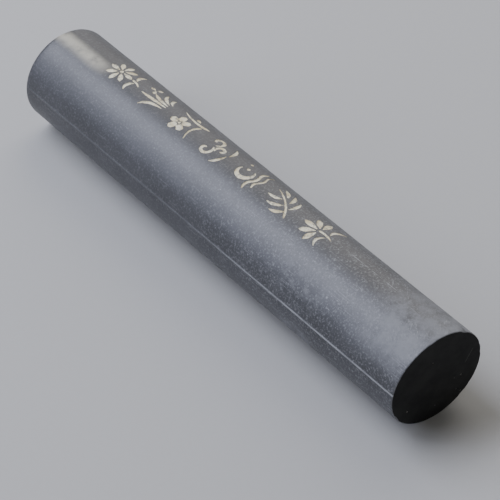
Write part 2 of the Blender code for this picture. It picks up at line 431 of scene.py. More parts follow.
@dataclass(frozen=True)
class Lotus(Ornament):
    """Five upright petals on a stem that rises between ripples."""

    name: str = "lotus"
    row: int = 6
    petal_width: float = 1.0
    petal_lengths: tuple[float, ...] = (3.16, 3.38, 3.6, 3.38, 3.16)
    centre: Point = (0.0, -0.75)

    def draw(self) -> list[Stroke]:
        """List the petals, the stem and the ripples."""
        petals = [coil(self.centre, (0.85, length), (10 + 40 * index, 10 + 40 * index))
                  for index, length in enumerate(self.petal_lengths)]
        return [
            *numbered("petal", petals, self.petal_width, Taper.PETAL),
            Stroke("stem", bent((0.0, -0.55), (0.35, -2.2), (-0.2, -3.6)), 0.42, Taper.TAIL),
            Stroke("ripple_1", bent((-2.9, -2.5), (-1.8, -1.3), (-0.6, -2.4)), 0.48, Taper.LEAF),
            Stroke("ripple_2", bent((0.75, -2.5), (2.0, -1.6), (3.6, -3.3)), 0.5, Taper.LEAF),
        ]


# --- Mesh helpers ---

def smooth_step(low: float, high: float, value: float) -> float:
    """Ease from 0 at low to 1 at high."""
    t = min(max((value - low) / (high - low), 0.0), 1.0)
    return t * t * (3 - 2 * t)


@dataclass(frozen=True)
class Layer:
    """One level of a stroke's solid: how far it is grown, and its height over the plan.

    Attributes:
        margin: How far the outline is grown all round, in metres.
        radius: The radius of the cylinder that the level lies on, in metres.
        hollow: How far its middle is sunk below its edges, in metres.
        grain: The height of the lumps on it, in metres.
    """

    margin: float
    radius: float
    hollow: float = 0.0
    grain: float = 0.0

    GRAIN_SIZE = 0.22 * MM

    def place(self, stroke: Stroke, t: float, across: float) -> Vector:
        """Point of this level on a stroke.

        Args:
            stroke: The stroke.
            t: The place along it, from 0 to 1.
            across: The place across it, from -1 to 1.

        Returns:
            The point in the mould's frame.
        """
        plan = stroke.ribbon_point(t, across, self.margin)
        height = math.sqrt(self.radius**2 - plan.x**2)
        height -= self.hollow * (1 - across**2)
        if self.grain:
            sample = Vector((plan.x / self.GRAIN_SIZE, plan.y / self.GRAIN_SIZE, 0.5))
            fine = noise.noise(sample) + 0.5 * noise.noise(sample * 2.7)
            height += self.grain * fine * (1 - 0.5 * abs(across))
        return Vector((plan.x, plan.y, height))


def add_ribbon(mesh: BMesh, stroke: Stroke, layers: Iterable[Layer],
               stations: int, columns: int, material: int = 0) -> None:
    """Add a closed solid that follows a stroke through several levels.

    Args:
        mesh: The mesh that the solid is added to.
        stroke: The stroke that it follows.
        layers: Its levels, from the deepest to the highest.
        stations: The number of steps along the stroke.
        columns: The number of steps across it.
        material: The material slot of its faces.
    """
    made = bmesh.ops.create_grid(mesh, x_segments=stations, y_segments=columns, size=0.5)
    levels = [made["verts"]]
    faces = list({face for vertex in levels[0] for face in vertex.link_faces})
    layers = list(layers)
    for _ in layers[1:]:
        sides = list({edge for face in faces for edge in face.edges})
        lifted = bmesh.ops.extrude_face_region(mesh, geom=faces + sides + levels[-1])["geom"]
        faces = [item for item in lifted if isinstance(item, bmesh.types.BMFace)]
        levels.append([item for item in lifted if isinstance(item, bmesh.types.BMVert)])
    levels = [[vertex for vertex in level if vertex.is_valid] for level in levels]
    for vertices, layer in zip(levels, layers):
        for vertex in vertices:
            t = round((vertex.co.x + 0.5) * stations) / stations
            across = round((vertex.co.y + 0.5) * columns) / columns * 2 - 1
            vertex.co = layer.place(stroke, t, across)
    touched = list({face for vertices in levels for vertex in vertices
                    for face in vertex.link_faces})
    for face in touched:
        face.material_index = material
        face.smooth = True
    bmesh.ops.recalc_face_normals(mesh, faces=touched)


def new_object(name: str, mesh: BMesh, materials: Iterable[Material],
               turn: Matrix | None = None) -> SceneObject:
    """Turn a bmesh into an object at the origin and free the bmesh.

    Args:
        name: The object's name.
        mesh: The mesh, which is freed.
        materials: Its materials, in the order of its slots.
        turn: Where its mesh is moved to, or None.

    Returns:
        The object.
    """
    if turn:
        mesh.transform(turn)
    data = bpy.data.meshes.new(name)
    mesh.to_mesh(data)
    mesh.free()
    for material in materials:
        data.materials.append(material)
    made = bpy.data.objects.new(name, data)
    bpy.context.scene.collection.objects.link(made)
    return made


# --- Node helpers ---

@dataclass
class Graph:
    """A node tree with short ways to add nodes to it."""

    tree: Tree

    def add(self, kind: str, **settings: object) -> Node:
        """Add a node.

        Args:
            kind: The node's type.
            settings: Its properties.

        Returns:
            The node.
        """
        node = self.tree.nodes.new(kind)
        for key, value in settings.items():
            setattr(node, key, value)
        return node

    def feed(self, socket: Socket, value: object) -> None:
        """Link a socket to another, or set its value.

        Args:
            socket: The input socket.
            value: Another socket, or a constant.
        """
        if isinstance(value, Socket):
            self.tree.links.new(value, socket)
        else:
            socket.default_value = value

    def dress(self, node: Node, **values: object) -> Node:
        """Feed a node's inputs by name.

        Args:
            node: The node.
            values: A socket or a constant for each input, with _ for a space in its name.

        Returns:
            The node.
        """
        for key, value in values.items():
            self.feed(node.inputs[key.replace("_", " ")], value)
        return node

    def result(self, kind: str, inputs: dict[str | int, object], output: str | int = 0,
               **settings: object) -> Socket:
        """Add a node for the sake of one output.

        Args:
            kind: The node's type.
            inputs: A socket or a constant for each input, by name or place.
            output: The output's name or place.
            settings: The node's properties.

        Returns:
            The output.
        """
        node = self.add(kind, **settings)
        for key, value in inputs.items():
            self.feed(node.inputs[key], value)
        return node.outputs[output]

    def math(self, operation: str, first: object, *others: object, clamp: bool = False) -> Socket:
        """Combine values one after another.

        Args:
            operation: The node's operation.
            first: The first value.
            others: The values that it is combined with in turn, or none.
            clamp: Whether each result is held between 0 and 1.

        Returns:
            The result.
        """
        for other in others or (0.0,):
            first = self.result("ShaderNodeMath", {0: first, 1: other}, operation=operation,
                                use_clamp=clamp)
        return first

    def ease(self, value: object, low: object, high: object) -> Socket:
        """Ease a value from 0 at low to 1 at high."""
        ends = {"Value": value, "From Min": low, "From Max": high}
        return self.result("ShaderNodeMapRange", ends, "Result", interpolation_type="SMOOTHSTEP")

    def remap(self, value: object, low: float, high: float) -> Socket:
        """Spread a value from 0 to 1 over low to high."""
        ends = {"Value": value, "To Min": low, "To Max": high}
        return self.result("ShaderNodeMapRange", ends, "Result")

    def noise(self, vector: object, scale: object, detail: float = 3.0,
              rough: float = 0.5) -> Socket:
        """Cloudy noise from 0 to 1."""
        sizes = {"Vector": vector, "Scale": scale, "Detail": detail, "Roughness": rough}
        return self.result("ShaderNodeTexNoise", sizes, "Fac")

    def mix(self, factor: object, *colors: object) -> Socket:
        """Blend two colours."""
        first, second = ((*color, 1.0) if isinstance(color, tuple) else color for color in colors)
        return self.result("ShaderNodeMix", {"Factor": factor, 6: first, 7: second}, 2,
                           data_type="RGBA")

    def band(self, value: object, middle: float, half: float, soft: float) -> Socket:
        """Mask that is 1 within half of the middle and fades over soft beyond it."""
        offset = self.math("ABSOLUTE", self.math("SUBTRACT", value, middle))
        return self.ease(offset, half + soft, half)

    def split(self, vector: Socket) -> tuple[Socket, ...]:
        """Split a position into its three axes."""
        return tuple(self.result("ShaderNodeSeparateXYZ", {0: vector}).node.outputs)

    def bump(self, height: Socket, strength: float, distance: float) -> Socket:
        """Turn a height into a bumped normal."""
        sizes = {"Strength": strength, "Distance": distance, "Height": height}
        return self.result("ShaderNodeBump", sizes, "Normal")

    def group(self, tree: Tree, **values: object) -> Node:
        """Place a shared group and feed its inputs by name, with _ for a space."""
        return self.dress(self.add("ShaderNodeGroup", node_tree=tree), **values)


def new_group(name: str, inputs: dict[str, float | None],
              outputs: Iterable[str]) -> tuple[Graph, Node, Node]:
    """Start a shared node group.

    Args:
        name: The group's name.
        inputs: Its inputs and their defaults, with None for a vector.
        outputs: The names of its outputs, which are values.

    Returns:
        The group's graph, its input node and its output node.
    """
    tree = bpy.data.node_groups.new(name, "ShaderNodeTree")
    for label, default in inputs.items():
        kind = "NodeSocketVector" if default is None else "NodeSocketFloat"
        socket = tree.interface.new_socket(name=label, in_out="INPUT", socket_type=kind)
        if default is not None:
            socket.default_value = default
    for label in outputs:
        tree.interface.new_socket(name=label, in_out="OUTPUT", socket_type="NodeSocketFloat")
    graph = Graph(tree)
    return graph, graph.add("NodeGroupInput"), graph.add("NodeGroupOutput")


class SharedEffects:
    """The effects that more than one finish uses, each built once."""

    def __init__(self) -> None:
        """Build the groups."""
        self.mottle = self._mottle()
        self.scratches = self._scratches()
        self.specks = self._specks()

    def _mottle(self) -> Tree:
        """Build cloudy patches of two sizes.

        Returns:
            The group, with a mask of the broad patches and the fine noise.
        """
        graph, given, result = new_group("soot_mottle", {"Vector": None, "Scale": 150.0},
                                         ["Patches", "Fine"])
        vector, scale = given.outputs["Vector"], given.outputs["Scale"]
        broad = graph.noise(vector, scale, 4.0, 0.6)
        fine = graph.noise(vector, graph.math("MULTIPLY", scale, 9.0), 3.0, 0.7)
        graph.dress(result, Patches=graph.ease(broad, 0.36, 0.64), Fine=fine)
        return graph.tree

    def _scratches(self) -> Tree:
        """Build fine lines along the stick, broken into lengths.

        Returns:
            The group, with a mask of the lines.
        """
        graph, given, result = new_group(
            "fine_scratches", {"Vector": None, "Across": 7000.0, "Along": 130.0, "Amount": 0.5},
            ["Lines"])
        vector, across = given.outputs["Vector"], given.outputs["Across"]
        density = {"X": across, "Y": given.outputs["Along"], "Z": across}
        stretch = graph.result("ShaderNodeCombineXYZ", density)
        scaled = graph.result("ShaderNodeVectorMath", {0: vector, 1: stretch},
                              operation="MULTIPLY")
        lines = graph.ease(graph.noise(scaled, 1.0, 2.0, 0.6), 0.55, 0.74)
        breaks = graph.ease(graph.noise(vector, 260.0, 2.0), 0.42, 0.68)
        amount = graph.math("MULTIPLY", lines, breaks, given.outputs["Amount"], clamp=True)
        graph.dress(result, Lines=amount)
        return graph.tree

    def _specks(self) -> Tree:
        """Build small round specks of dust in some of the cells of a scatter.

        Returns:
            The group, with a mask of the specks.
        """
        graph, given, result = new_group(
            "dust_specks", {"Vector": None, "Scale": 900.0, "Coverage": 0.1, "Size": 0.18},
            ["Mask"])
        cells = graph.add("ShaderNodeTexVoronoi")
        graph.dress(cells, Vector=given.outputs["Vector"], Scale=given.outputs["Scale"])
        red = graph.result("ShaderNodeSeparateColor", {0: cells.outputs["Color"]}, "Red")
        chosen = graph.math("LESS_THAN", red, given.outputs["Coverage"])
        size = graph.math("MULTIPLY", given.outputs["Size"], red.node.outputs["Green"])
        dot = graph.ease(cells.outputs["Distance"], size, graph.math("MULTIPLY", size, 0.4))
        graph.dress(result, Mask=graph.math("MULTIPLY", dot, chosen))
        return graph.tree


def new_material(name: str) -> tuple[Material, Graph, Node]:
    """Start a material.

    Args:
        name: The material's name.

    Returns:
        The material, its graph and its Principled shader.
    """
    material = bpy.data.materials.new(name)
    material.use_nodes = True
    return material, Graph(material.node_tree), material.node_tree.nodes["Principled BSDF"]


def object_position(graph: Graph) -> Socket:
    """Position on the piece, in the part's own frame."""
    return graph.add("ShaderNodeTexCoord").outputs["Object"]


# --- Where the stick lies ---

@dataclass(frozen=True)
class Lie:
    """How the casting lies.

    Attributes:
        low: The casting's lowest corner.
        high: Its highest corner.
        roll: Its roll round the axis, in radians.
        flat_width: The width of the flat that it rests on.
    """

    low: Vector
    high: Vector
    roll: float = math.radians(9.0)
    flat_width: float = 2.0 * MM

    @property
    def radius(self) -> float:
        """Radius of the casting: its height is that and the axis's height over the flat."""
        height = self.high.z - self.low.z
        return (height**2 + (self.flat_width / 2)**2) / (2 * height)

    @property
    def axis_height(self) -> float:
        """Height of the axis over the surface that the stick lies on."""
        return self.high.z - self.radius

    def to_part(self) -> Matrix:
        """Turn from the mould's frame to the part's."""
        lift = Matrix.Translation((0, 0, self.axis_height))
        return lift @ Matrix.Rotation(self.roll, 4, "Y")


# --- Finishes ---

@dataclass(frozen=True)
class Place:
    """A position in the mould's frame, whole and by axis."""

    point: Socket
    x: Socket
    y: Socket
    z: Socket


@dataclass(frozen=True)
class BurnishedInk:
    """The casting's round side: burnished soot with fine scratches, dust, a pale bloom and some painted
    highlights.
    """

    lie: Lie
    dark: Color = (0.022, 0.023, 0.029)
    light: Color = (0.032, 0.033, 0.041)
    dust: Color = (0.42, 0.43, 0.45)
    bloom: Color = (0.22, 0.225, 0.24)
    # cream of the far-end patch: partly rubbed gold powder, partly a painted highlight
    gilt_rub_and_highlight: Color = (0.52, 0.49, 0.40)
    roughness: float = 0.44
    powder_share: float = 0.44
    line_share: float = 0.5
    # pale coat on the seam crests: partly rubbed wear, partly a painted highlight
    mark_share: float = 0.65
    seam_rub_and_highlight_share: float = 0.75
    speck_share: float = 0.8
    near_rim_y: float = -49.5 * MM
    smudge: Point = (-7.0 * MM, -24.0 * MM)
    hairline: Point = (0.5 * MM, -31.5 * MM)
    scuff_slant: float = math.radians(48)
    chip: tuple[float, float, float] = (-7.09 * MM, -30.0 * MM, 5.54 * MM)

    def material(self, effects: SharedEffects) -> Material:
        """Build the material.

        Args:
            effects: The shared node groups.

        Returns:
            The material.
        """
        material, graph, shader = new_material("burnished_ink")
        place = self._mould_place(graph)
        point = place.point
        mottle = graph.group(effects.mottle, Vector=point, Scale=140.0)
        lines = graph.group(effects.scratches, Vector=point, Amount=0.9).outputs["Lines"]
        specks = graph.group(effects.specks, Vector=point, Scale=750.0, Coverage=0.09, Size=0.14)
        fine_dust = graph.group(effects.specks, Vector=point, Scale=2100.0, Coverage=0.22,
                                Size=0.34)
        powder = graph.ease(graph.noise(point, 2600.0, 3.0, 0.75), 0.48, 0.72)
        handled = graph.remap(graph.ease(place.y, 12 * MM, -22 * MM), 0.45, 1.0)
        bloom = self._bloom(graph, place)
        # seam crest mask: rubbed wear and a painted highlight
        seam_rub_and_highlight = self._seam_rub_and_highlight(graph, place)
        marks = graph.math("MAXIMUM", self._hairline(graph, place),
                           self._scuffs(graph, effects, place), self._chip(graph, place))
        color = graph.mix(mottle.outputs["Patches"], self.dark, self.light)
        coats = (
            (graph.math("MULTIPLY", powder, handled, self.powder_share), self.dust),
            (graph.math("MULTIPLY", fine_dust.outputs["Mask"], handled, self.line_share), self.dust),
            (graph.math("MULTIPLY", lines, handled, self.line_share), self.dust),
            (bloom, self.bloom),
            (graph.math("MULTIPLY", marks, self.mark_share), self.dust),
            # far-end patch: partly rubbed gold powder, partly a painted highlight on the top
            (self._gilt_rub_and_highlight(graph, place), self.gilt_rub_and_highlight),
            # seam crests: partly rubbed wear, partly a painted highlight
            (graph.math("MULTIPLY", seam_rub_and_highlight, self.seam_rub_and_highlight_share), self.dust),
            (graph.math("MULTIPLY", specks.outputs["Mask"], self.speck_share), self.dust),
        )
        for share, tint in coats:
            color = graph.mix(share, color, tint)
        rough = graph.remap(mottle.outputs["Fine"], self.roughness - 0.06, self.roughness + 0.08)
        rough = graph.math("ADD", rough, graph.math("MULTIPLY", bloom, 0.2))
        rough = graph.math("SUBTRACT", rough, graph.math("MULTIPLY", seam_rub_and_highlight, 0.12))
        height = graph.math("ADD", mottle.outputs["Fine"], graph.math("MULTIPLY", powder, handled),
                            graph.math("MULTIPLY", lines, -1.0))
        graph.dress(shader, Base_Color=color, Roughness=rough, Specular_IOR_Level=1.0,
                    Normal=graph.bump(height, 0.45, 0.02 * MM))
        return material

    def _mould_place(self, graph: Graph) -> Place:
        """Find the position in the mould's frame.

        Args:
            graph: The material's graph.

        Returns:
            The position.
        """
        turn = {"Vector": object_position(graph), "Location": (0, 0, self.lie.axis_height),
                "Rotation": (0, self.lie.roll, 0)}
        point = graph.result("ShaderNodeMapping", turn, vector_type="TEXTURE")
        return Place(point, *graph.split(point))

    def _bloom(self, graph: Graph, place: Place) -> Socket:
        """Shade a pale bloom over the near end's upper side, and a smudge on the front.

        Args:
            graph: The material's graph.
            place: The position in the mould's frame.

        Returns:
            The mask.
        """
        clouds = graph.noise(place.point, 420.0, 5.0, 0.65)
        patch = graph.math("MULTIPLY", graph.ease(place.y, -33 * MM, -43 * MM),
                           graph.ease(place.z, 0.5 * MM, 7.0 * MM),
                           graph.ease(clouds, 0.26, 0.66), 0.95)
        smudge = graph.math("MULTIPLY", graph.band(place.y, self.smudge[1], 2.5 * MM, 5.0 * MM),
                            graph.band(place.x, self.smudge[0], 0.6 * MM, 1.6 * MM),
                            graph.ease(clouds, 0.46, 0.62), 0.55)
        rim = graph.math("MULTIPLY", graph.band(place.y, self.near_rim_y, 0.25 * MM, 0.5 * MM),
                         graph.ease(clouds, 0.35, 0.6), 0.4)
        return graph.math("MAXIMUM", patch, smudge, rim)

    def _seam_rub_and_highlight(self, graph: Graph, place: Place) -> Socket:
        """Rub the crest of the mould seams paler, more towards the near end: partly wear, partly a
        painted highlight along the crest.

        Args:
            graph: The material's graph.
            place: The position in the mould's frame.

        Returns:
            The mask.
        """
        crest = graph.band(place.z, 0.0, 0.05 * MM, 0.22 * MM)
        along = graph.remap(graph.ease(place.y, 8 * MM, -28 * MM), 0.15, 1.0)
        clouds = graph.ease(graph.noise(place.point, 300.0, 3.0), 0.3, 0.6)
        return graph.math("MULTIPLY", crest, along, graph.remap(clouds, 0.6, 1.0))

    def _gilt_rub_and_highlight(self, graph: Graph, place: Place) -> Socket:
        """Rub a pale cream patch between the first ornament and the far end: partly gold powder in the
        skin, partly a painted highlight.

        Args:
            graph: The material's graph.
            place: The position in the mould's frame.

        Returns:
            The mask.
        """
        along = graph.ease(place.y, 34 * MM, 40 * MM)
        across = graph.band(place.x, -1.9 * MM, 0.2 * MM, 2.0 * MM)
        clouds = graph.ease(graph.noise(place.point, 380.0, 4.0, 0.6), 0.1, 0.62)
        return graph.math("MULTIPLY", along, across, clouds, 0.95)

    def _hairline(self, graph: Graph, place: Place) -> Socket:
        """Draw a fine hairline along the top, past the last ornament.

        Args:
            graph: The material's graph.
            place: The position in the mould's frame.

        Returns:
            The mask.
        """
        line = graph.band(place.x, self.hairline[0], 0.02 * MM, 0.08 * MM)
        along = graph.band(place.y, self.hairline[1], 5.0 * MM, 1.5 * MM)
        broken = graph.ease(graph.noise(place.point, 900.0, 2.0), 0.3, 0.6)
        return graph.math("MULTIPLY", line, along, broken)

    def _scuffs(self, graph: Graph, effects: SharedEffects, place: Place) -> Socket:
        """Draw short slanting rubs on the near end's upper side.

        Args:
            graph: The material's graph.
            effects: The shared node groups.
            place: The position in the mould's frame.

        Returns:
            The mask.
        """
        slant = {"Vector": place.point, "Rotation": (0, 0, self.scuff_slant)}
        rubs = graph.group(effects.scratches, Vector=graph.result("ShaderNodeMapping", slant),
                           Across=3600.0, Along=420.0, Amount=1.0)
        return graph.math("MULTIPLY", graph.ease(place.y, -22 * MM, -40 * MM),
                          graph.ease(place.z, 4.0 * MM, 7.5 * MM), rubs.outputs["Lines"])

    def _chip(self, graph: Graph, place: Place) -> Socket:
        """One bright chip on the front, near the smudge."""
        away = graph.result("ShaderNodeVectorMath", {0: place.point, 1: self.chip}, "Value",
                            operation="DISTANCE")
        return graph.ease(away, 0.26 * MM, 0.10 * MM)


@dataclass(frozen=True)
class MatteInk:
    """The casting's end faces: dull, porous soot."""

    dark: Color = (0.018, 0.018, 0.018)
    light: Color = (0.028, 0.028, 0.027)
    dust: Color = (0.22, 0.22, 0.20)
    roughness: float = 0.72
    scratch: tuple[float, float, float] = (6.4 * MM, -49.6 * MM, 10.3 * MM)
    scratch_slant: float = math.radians(29)

    def material(self, effects: SharedEffects) -> Material:
        """Build the material.

        Args:
            effects: The shared node groups.

        Returns:
            The material.
        """
        material, graph, shader = new_material("matte_ink")
        place = object_position(graph)
        mottle = graph.group(effects.mottle, Vector=place, Scale=260.0)
        fine = mottle.outputs["Fine"]
        specks = graph.group(effects.specks, Vector=place, Scale=800.0, Coverage=0.03, Size=0.14)
        color = graph.mix(mottle.outputs["Patches"], self.dark, self.light)
        color = graph.mix(graph.math("MULTIPLY", specks.outputs["Mask"], 0.6), color, self.dust)
        color = graph.mix(self._scratch(graph, place), color, self.dust)
        rough = graph.remap(fine, self.roughness - 0.08, self.roughness + 0.08)
        graph.dress(shader, Base_Color=color, Roughness=rough, Specular_IOR_Level=0.2,
                    Normal=graph.bump(fine, 0.4, 0.03 * MM))
        return material

    def _scratch(self, graph: Graph, place: Socket) -> Socket:
        """Draw one faint straight scratch on the near face.

        Args:
            graph: The material's graph.
            place: The position on the piece.

        Returns:
            The mask.
        """
        turn = {"Vector": place, "Location": self.scratch, "Rotation": (0, self.scratch_slant, 0)}
        x, y, z = graph.split(graph.result("ShaderNodeMapping", turn, vector_type="TEXTURE"))
        return graph.math("MULTIPLY", graph.band(x, 0.0, 0.02 * MM, 0.07 * MM),
                          graph.band(z, 0.0, 1.1 * MM, 0.6 * MM),
                          graph.band(y, 0.0, 2 * MM, 1 * MM), 0.35)


@dataclass(frozen=True)
class ScrapedInk:
    """Ink that was scratched or chipped open: paler and dry."""

    color: Color = (0.16, 0.16, 0.155)
    pale: Color = (0.32, 0.31, 0.28)
    roughness: float = 0.75

    def material(self, effects: SharedEffects) -> Material:
        """Build the material.

        Args:
            effects: The shared node groups.

        Returns:
            The material.
        """
        material, graph, shader = new_material("scraped_ink")
        mottle = graph.group(effects.mottle, Vector=object_position(graph), Scale=900.0)
        color = graph.mix(mottle.outputs["Patches"], self.color, self.pale)
        rough = graph.remap(mottle.outputs["Fine"], self.roughness - 0.1, self.roughness + 0.1)
        graph.dress(shader, Base_Color=color, Roughness=rough)
        return material


@dataclass(frozen=True)
class Gilt:
    """Pale gold pigment: powdery, lumpy and worn thin in places."""

    name: str = "pale_gilt"
    pale: Color = (0.95, 0.90, 0.71)
    warm: Color = (0.80, 0.70, 0.46)
    worn: Color = (0.20, 0.18, 0.14)
    wear: float = 0.7
    roughness: float = 0.62

    def material(self, effects: SharedEffects) -> Material:
        """Build the material.

        Args:
            effects: The shared node groups.

        Returns:
            The material.
        """
        material, graph, shader = new_material(self.name)
        place = object_position(graph)
        mottle = graph.group(effects.mottle, Vector=place, Scale=520.0)
        thin = graph.noise(place, 1500.0, 4.0, 0.65)
        color = graph.mix(mottle.outputs["Patches"], self.pale, self.warm)
        color = graph.mix(graph.math("MULTIPLY", graph.ease(thin, 0.50, 0.68), self.wear), color,
                          self.worn)
        rough = graph.remap(mottle.outputs["Fine"], self.roughness - 0.12, self.roughness + 0.12)
        graph.dress(shader, Base_Color=color, Roughness=rough, Metallic=0.15,
                    Normal=graph.bump(thin, 0.8, 0.05 * MM))
        return material


# --- The engraving and the fills ---

@dataclass
class Engraving:
    """The column of ornaments: its recesses in the casting, and the gilt in them."""

    lie: Lie
    ornaments: tuple[Ornament, ...] = (Chrysanthemum(), Orchid(), PlumBlossom(), Cloud(),
                                       MoonAndWaves(), WillowSprig(), Lotus())
    depth: float = 0.45 * MM
    fill_below: float = 0.07 * MM
    wall_margin: float = 0.03 * MM
    draft: float = 0.03 * MM
    chamfer: float = 0.05 * MM
    recess_flare: float = 0.02 * MM
    cutter_rise: float = 0.8 * MM
    foot_gap: float = 0.005 * MM
    floor_gap: float = 0.01 * MM
    wall_gap: float = 0.008 * MM
    rounding: float = 0.02 * MM
    hollow: float = 0.03 * MM
    lumps: float = 0.035 * MM
    step: float = 0.11 * MM
    fewest_steps: int = 6
    cutter_columns: int = 2
    fill_columns: int = 5

    def strokes(self) -> list[Stroke]:
        """List every stroke of every ornament."""
        return [stroke for ornament in self.ornaments for stroke in ornament.strokes()]

    def stations(self, stroke: Stroke) -> int:
        """Number of steps along a stroke."""
        return max(self.fewest_steps, round(stroke.length() / self.step))

    def add_recesses(self, mesh: BMesh) -> None:
        """Add the solids that cut the recesses, with a soft edge.

        Args:
            mesh: The mesh that they are added to.
        """
        radius = self.lie.radius
        layers = (
            Layer(self.wall_margin - self.draft, radius - self.depth),
            Layer(self.wall_margin, radius - self.chamfer),
            Layer(self.wall_margin + self.chamfer, radius + self.recess_flare),
            Layer(self.wall_margin + self.chamfer, radius + self.cutter_rise),
        )
        for stroke in self.strokes():
            add_ribbon(mesh, stroke, layers, self.stations(stroke), self.cutter_columns,
                       Slot.RECESS.value)

    def build_fills(self, gilt: Material) -> list[SceneObject]:
        """Build the gilt in each recess and hang it on the casting's body.

        Args:
            gilt: The pigment's material.

        Returns:
            The fills.
        """
        top = self.lie.radius - self.fill_below
        layers = (
            Layer(self.wall_margin - self.draft - self.foot_gap,
                  self.lie.radius - self.depth + self.floor_gap),
            Layer(self.wall_margin - self.wall_gap, top - self.rounding),
            Layer(self.wall_margin - self.rounding, top, self.hollow, self.lumps),
        )
        fills = []
        for stroke in self.strokes():
            mesh = bmesh.new()
            add_ribbon(mesh, stroke, layers, self.stations(stroke), self.fill_columns)
            fill = new_object(f"gilt_fill_{stroke.name}", mesh, [gilt], self.lie.to_part())
            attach(fill, BODY)
            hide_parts(f"gilt_{stroke.name}")
            fills.append(fill)
        return fills


# --- The casting ---

@dataclass
class Casting:
    """The ink body: a round bar with rounded rims, two mould seams and a resting flat."""

    lie: Lie
    near_rim: float = 0.2 * MM
    far_rim: float = 0.9 * MM
    rim_steps: int = 6
    face_rings: int = 14
    length_steps: int = 150
    turn_steps: int = 256
    seam_crowding: float = 0.7
    seam_height: float = 0.105 * MM
    seam_half_width: float = 0.18 * MM
    lean: float = math.radians(3.0)
    lean_towards: float = math.radians(133.5)
    lean_reach: float = 4 * MM
    seam_end_fade: Point = (0.6 * MM, 2.5 * MM)
    seam_wear_length: float = 3 * MM
    waviness: float = 0.018 * MM
    wave_length: float = 11 * MM
    waves_round: float = 1.3
    nick_depth: float = 0.22 * MM
    nick_fade: float = 0.4 * MM
    nick_threshold: float = 0.15
    nicks_round: float = 6.0
    near_pinholes: tuple[Pinhole, ...] = (
        (5.4, -1.4, 0.2), (4.1, -1.6, 0.13), (5.2, -4.4, 0.14), (6.3, -5.1, 0.12),
        (-4.9, -5.0, 0.17), (-1.8, 3.9, 0.1), (1.2, -6.2, 0.1))
    far_pinholes: tuple[Pinhole, ...] = ((-3.6, 2.2, 0.16), (2.5, 5.1, 0.12), (4.6, -3.3, 0.14))
    smoothing_angle: float = math.radians(32)

    @property
    def near_y(self) -> float:
        """Place of the near face on the axis."""
        reach = math.tan(self.lean) * self.lie.radius
        return self.lie.low.y + reach

    @property
    def far_y(self) -> float:
        """Place of the far face."""
        return self.lie.high.y

    def outline(self) -> list[Vector]:
        """Draw half of the long section.

        Returns:
            Its points, from the near face's middle to the far face's.
        """
        start = self.near_y + self.near_rim
        end = self.far_y - self.far_rim
        step = (end - start) / self.length_steps
        near_face = self._face(self.near_rim, self.near_y)
        far_face = self._face(self.far_rim, self.far_y)
        side = [Vector((self.lie.radius, start + step * index, 0))
                for index in range(1, self.length_steps)]
        return [*near_face, *self._rim(start, self.near_rim, -90), *side,
                *self._rim(end, self.far_rim, 0), *reversed(far_face)]

    def _face(self, rim: float, y: float) -> list[Vector]:
        """Points from a face's middle out to its rim."""
        step = (self.lie.radius - rim) / self.face_rings
        return [Vector((step * index, y, 0)) for index in range(self.face_rings)]

    def _rim(self, middle_y: float, rim: float, first: float) -> list[Vector]:
        """Points on a rim's quarter circle, from an angle in degrees."""
        angles = [math.radians(first + 90 * i / self.rim_steps) for i in range(self.rim_steps + 1)]
        return [Vector((self.lie.radius - rim + rim * math.cos(angle),
                        middle_y + rim * math.sin(angle), 0)) for angle in angles]

    def turned(self) -> BMesh:
        """Turn the outline round the axis.

        Returns:
            The plain round bar, in the mould's frame.
        """
        mesh = bmesh.new()
        points = [mesh.verts.new(point) for point in self.outline()]
        edges = [mesh.edges.new(pair) for pair in zip(points, points[1:])]
        bmesh.ops.spin(mesh, geom=points + edges, cent=(0, 0, 0), axis=(0, 1, 0),
                       angle=math.tau, steps=self.turn_steps, use_merge=True)
        bmesh.ops.remove_doubles(mesh, verts=mesh.verts, dist=0.0005 * MM)
        bmesh.ops.recalc_face_normals(mesh, faces=mesh.faces)
        return mesh

    def shape(self, mesh: BMesh) -> None:
        """Crowd the rings' points at the seams, raise the seams and lean the near face.

        Args:
            mesh: The plain round bar, which is changed.
        """
        for vertex in mesh.verts:
            reach = math.hypot(vertex.co.x, vertex.co.z)
            if reach < 0.01 * MM:
                continue
            angle = math.atan2(vertex.co.z, vertex.co.x)
            angle -= self.seam_crowding / 2 * math.sin(2 * angle)
            raised = reach + self._relief(angle, vertex.co.y, reach)
            vertex.co.x = raised * math.cos(angle)
            vertex.co.z = raised * math.sin(angle)
        for vertex in mesh.verts:
            vertex.co.y += self._lean_shift(vertex.co)

    def _relief(self, angle: float, y: float, reach: float) -> float:
        """How far the skin stands out at an angle from the seams' plane.

        Args:
            angle: The angle round the axis, 0 and pi at the seams.
            y: The place along the stick.
            reach: The distance from the axis before the relief.

        Returns:
            The height in metres.
        """
        x, z = math.cos(angle), math.sin(angle)
        skin = smooth_step(0.9, 1.0, reach / self.lie.radius)
        around = abs(math.remainder(angle, math.pi)) * self.lie.radius
        crest = math.exp(-(around / self.seam_half_width)**2)
        ends = smooth_step(*self.seam_end_fade, min(y - self.near_y, self.far_y - y))
        wear = noise.noise(Vector((0, y / self.seam_wear_length, math.copysign(4, x))))
        wear = min(0.85 + 0.3 * wear, 1.0)
        place = Vector((x * self.waves_round, y / self.wave_length, z * self.waves_round))
        wave = self.waviness * (min(noise.noise(place), 1.0) - 1.0)
        nicks = noise.noise(Vector((x * self.nicks_round, 3.0, z * self.nicks_round)))
        edge = 1 - smooth_step(self.near_rim * 0.5, self.near_rim + self.nick_fade, y - self.near_y)
        wave -= self.nick_depth * edge * max(0.0, nicks - self.nick_threshold)
        return skin * (self.seam_height * crest * ends * wear + wave)

    def _lean_shift(self, place: Vector) -> float:
        """How far a point slides along the axis to lean the near face.

        Args:
            place: The point.

        Returns:
            The slide, in metres.
        """
        reach = -math.sin(self.lean_towards) * place.x + math.cos(self.lean_towards) * place.z
        share = 1 - smooth_step(self.near_rim, self.lean_reach, place.y - self.near_y)
        return math.tan(self.lean) * reach * share

